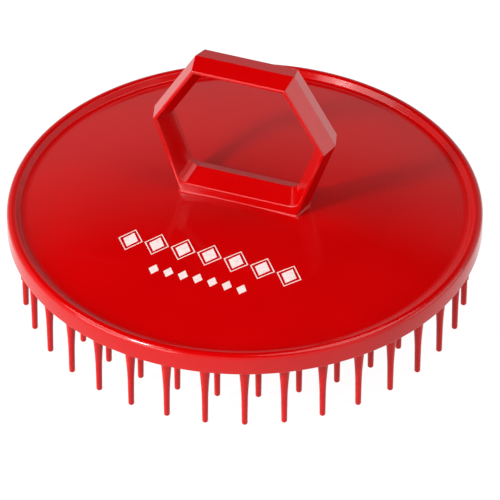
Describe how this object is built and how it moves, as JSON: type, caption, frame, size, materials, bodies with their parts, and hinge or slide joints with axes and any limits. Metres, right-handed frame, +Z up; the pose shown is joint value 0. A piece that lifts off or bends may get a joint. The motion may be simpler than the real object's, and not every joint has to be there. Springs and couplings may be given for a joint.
{
  "type": "palm grooming brush",
  "caption": "Round domed palm brush with concentric rings of soft slender pins below and a hexagonal finger loop on top.",
  "frame": {"origin": "axis of the disc, in the plane of the outer pin tips", "axes": "+Z up through the finger loop, X along the width of the loop, -Y towards the front"},
  "size_m": [0.09, 0.09, 0.0511],
  "materials": {
    "top_rubber": "glossy moulded red rubber, firm",
    "pin_rubber": "smooth moulded red rubber, soft and slightly translucent"
  },
  "bodies": {
    "root": {"deck": "top_rubber", "rim_band": "top_rubber", "pin_mat": "pin_rubber", "finger_loop": "top_rubber", "centre_pin": "pin_rubber", "pin_row_1": "pin_rubber", "pin_row_2": "pin_rubber", "pin_row_3": "pin_rubber", "pin_row_4": "pin_rubber", "pin_row_5": "pin_rubber", "pin_row_6": "pin_rubber"}
  },
  "joints": []
}
